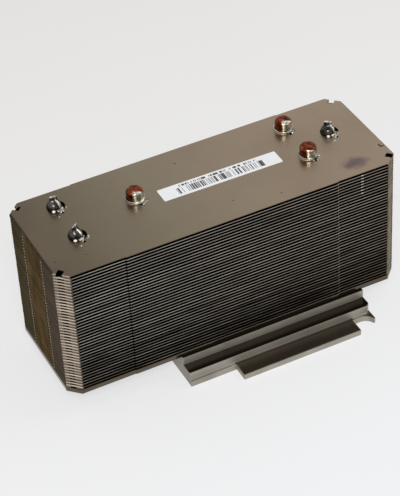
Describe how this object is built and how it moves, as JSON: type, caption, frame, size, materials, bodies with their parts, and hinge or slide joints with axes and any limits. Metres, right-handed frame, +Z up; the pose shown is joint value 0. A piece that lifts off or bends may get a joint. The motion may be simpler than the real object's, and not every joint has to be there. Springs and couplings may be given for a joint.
{
  "type": "cpu heatsink",
  "caption": "Passive server processor heatsink: a tall stack of folded fins on U-shaped heat pipes, standing on a milled base block with clip tongues.",
  "frame": {"origin": "centre of the base block's underside, where it meets the processor", "axes": "+Z up through the fins, +X along the fins towards the short overhang, -Y to the side with the clip horn"},
  "size_m": [0.1608, 0.087, 0.0822],
  "materials": {
    "fin": "thin stamped sheet, dulled",
    "top": "thin stamped sheet, satin, warm tarnish",
    "plate": "satin",
    "base": "milled, plated",
    "pipe": "tarnished copper with solder",
    "label": "matt sticker"
  },
  "bodies": {
    "root": {"fin_01": "fin", "fin_02": "fin", "fin_03": "fin", "fin_04": "fin", "fin_05": "fin", "fin_06": "fin", "fin_07": "fin", "fin_08": "fin", "fin_09": "fin", "fin_10": "fin", "fin_11": "fin", "fin_12": "fin", "fin_13": "fin", "fin_14": "fin", "fin_15": "fin", "fin_16": "fin", "fin_17": "fin", "fin_18": "fin", "fin_19": "fin", "fin_20": "fin", "fin_21": "fin", "fin_22": "fin", "fin_23": "fin", "fin_24": "fin", "fin_25": "fin", "fin_26": "fin", "fin_27": "fin", "fin_28": "fin", "fin_29": "fin", "fin_30": "fin", "fin_31": "fin", "fin_32": "fin", "fin_33": "fin", "fin_34": "fin", "fin_35": "fin", "fin_36": "fin", "fin_37": "fin", "fin_38": "fin", "fin_39": "fin", "top_fin": "top", "bottom_plate": "plate", "base_block": "base", "heat_pipe_front": "pipe", "heat_pipe_middle": "pipe", "heat_pipe_rear": "pipe", "label": "label"}
  },
  "joints": []
}
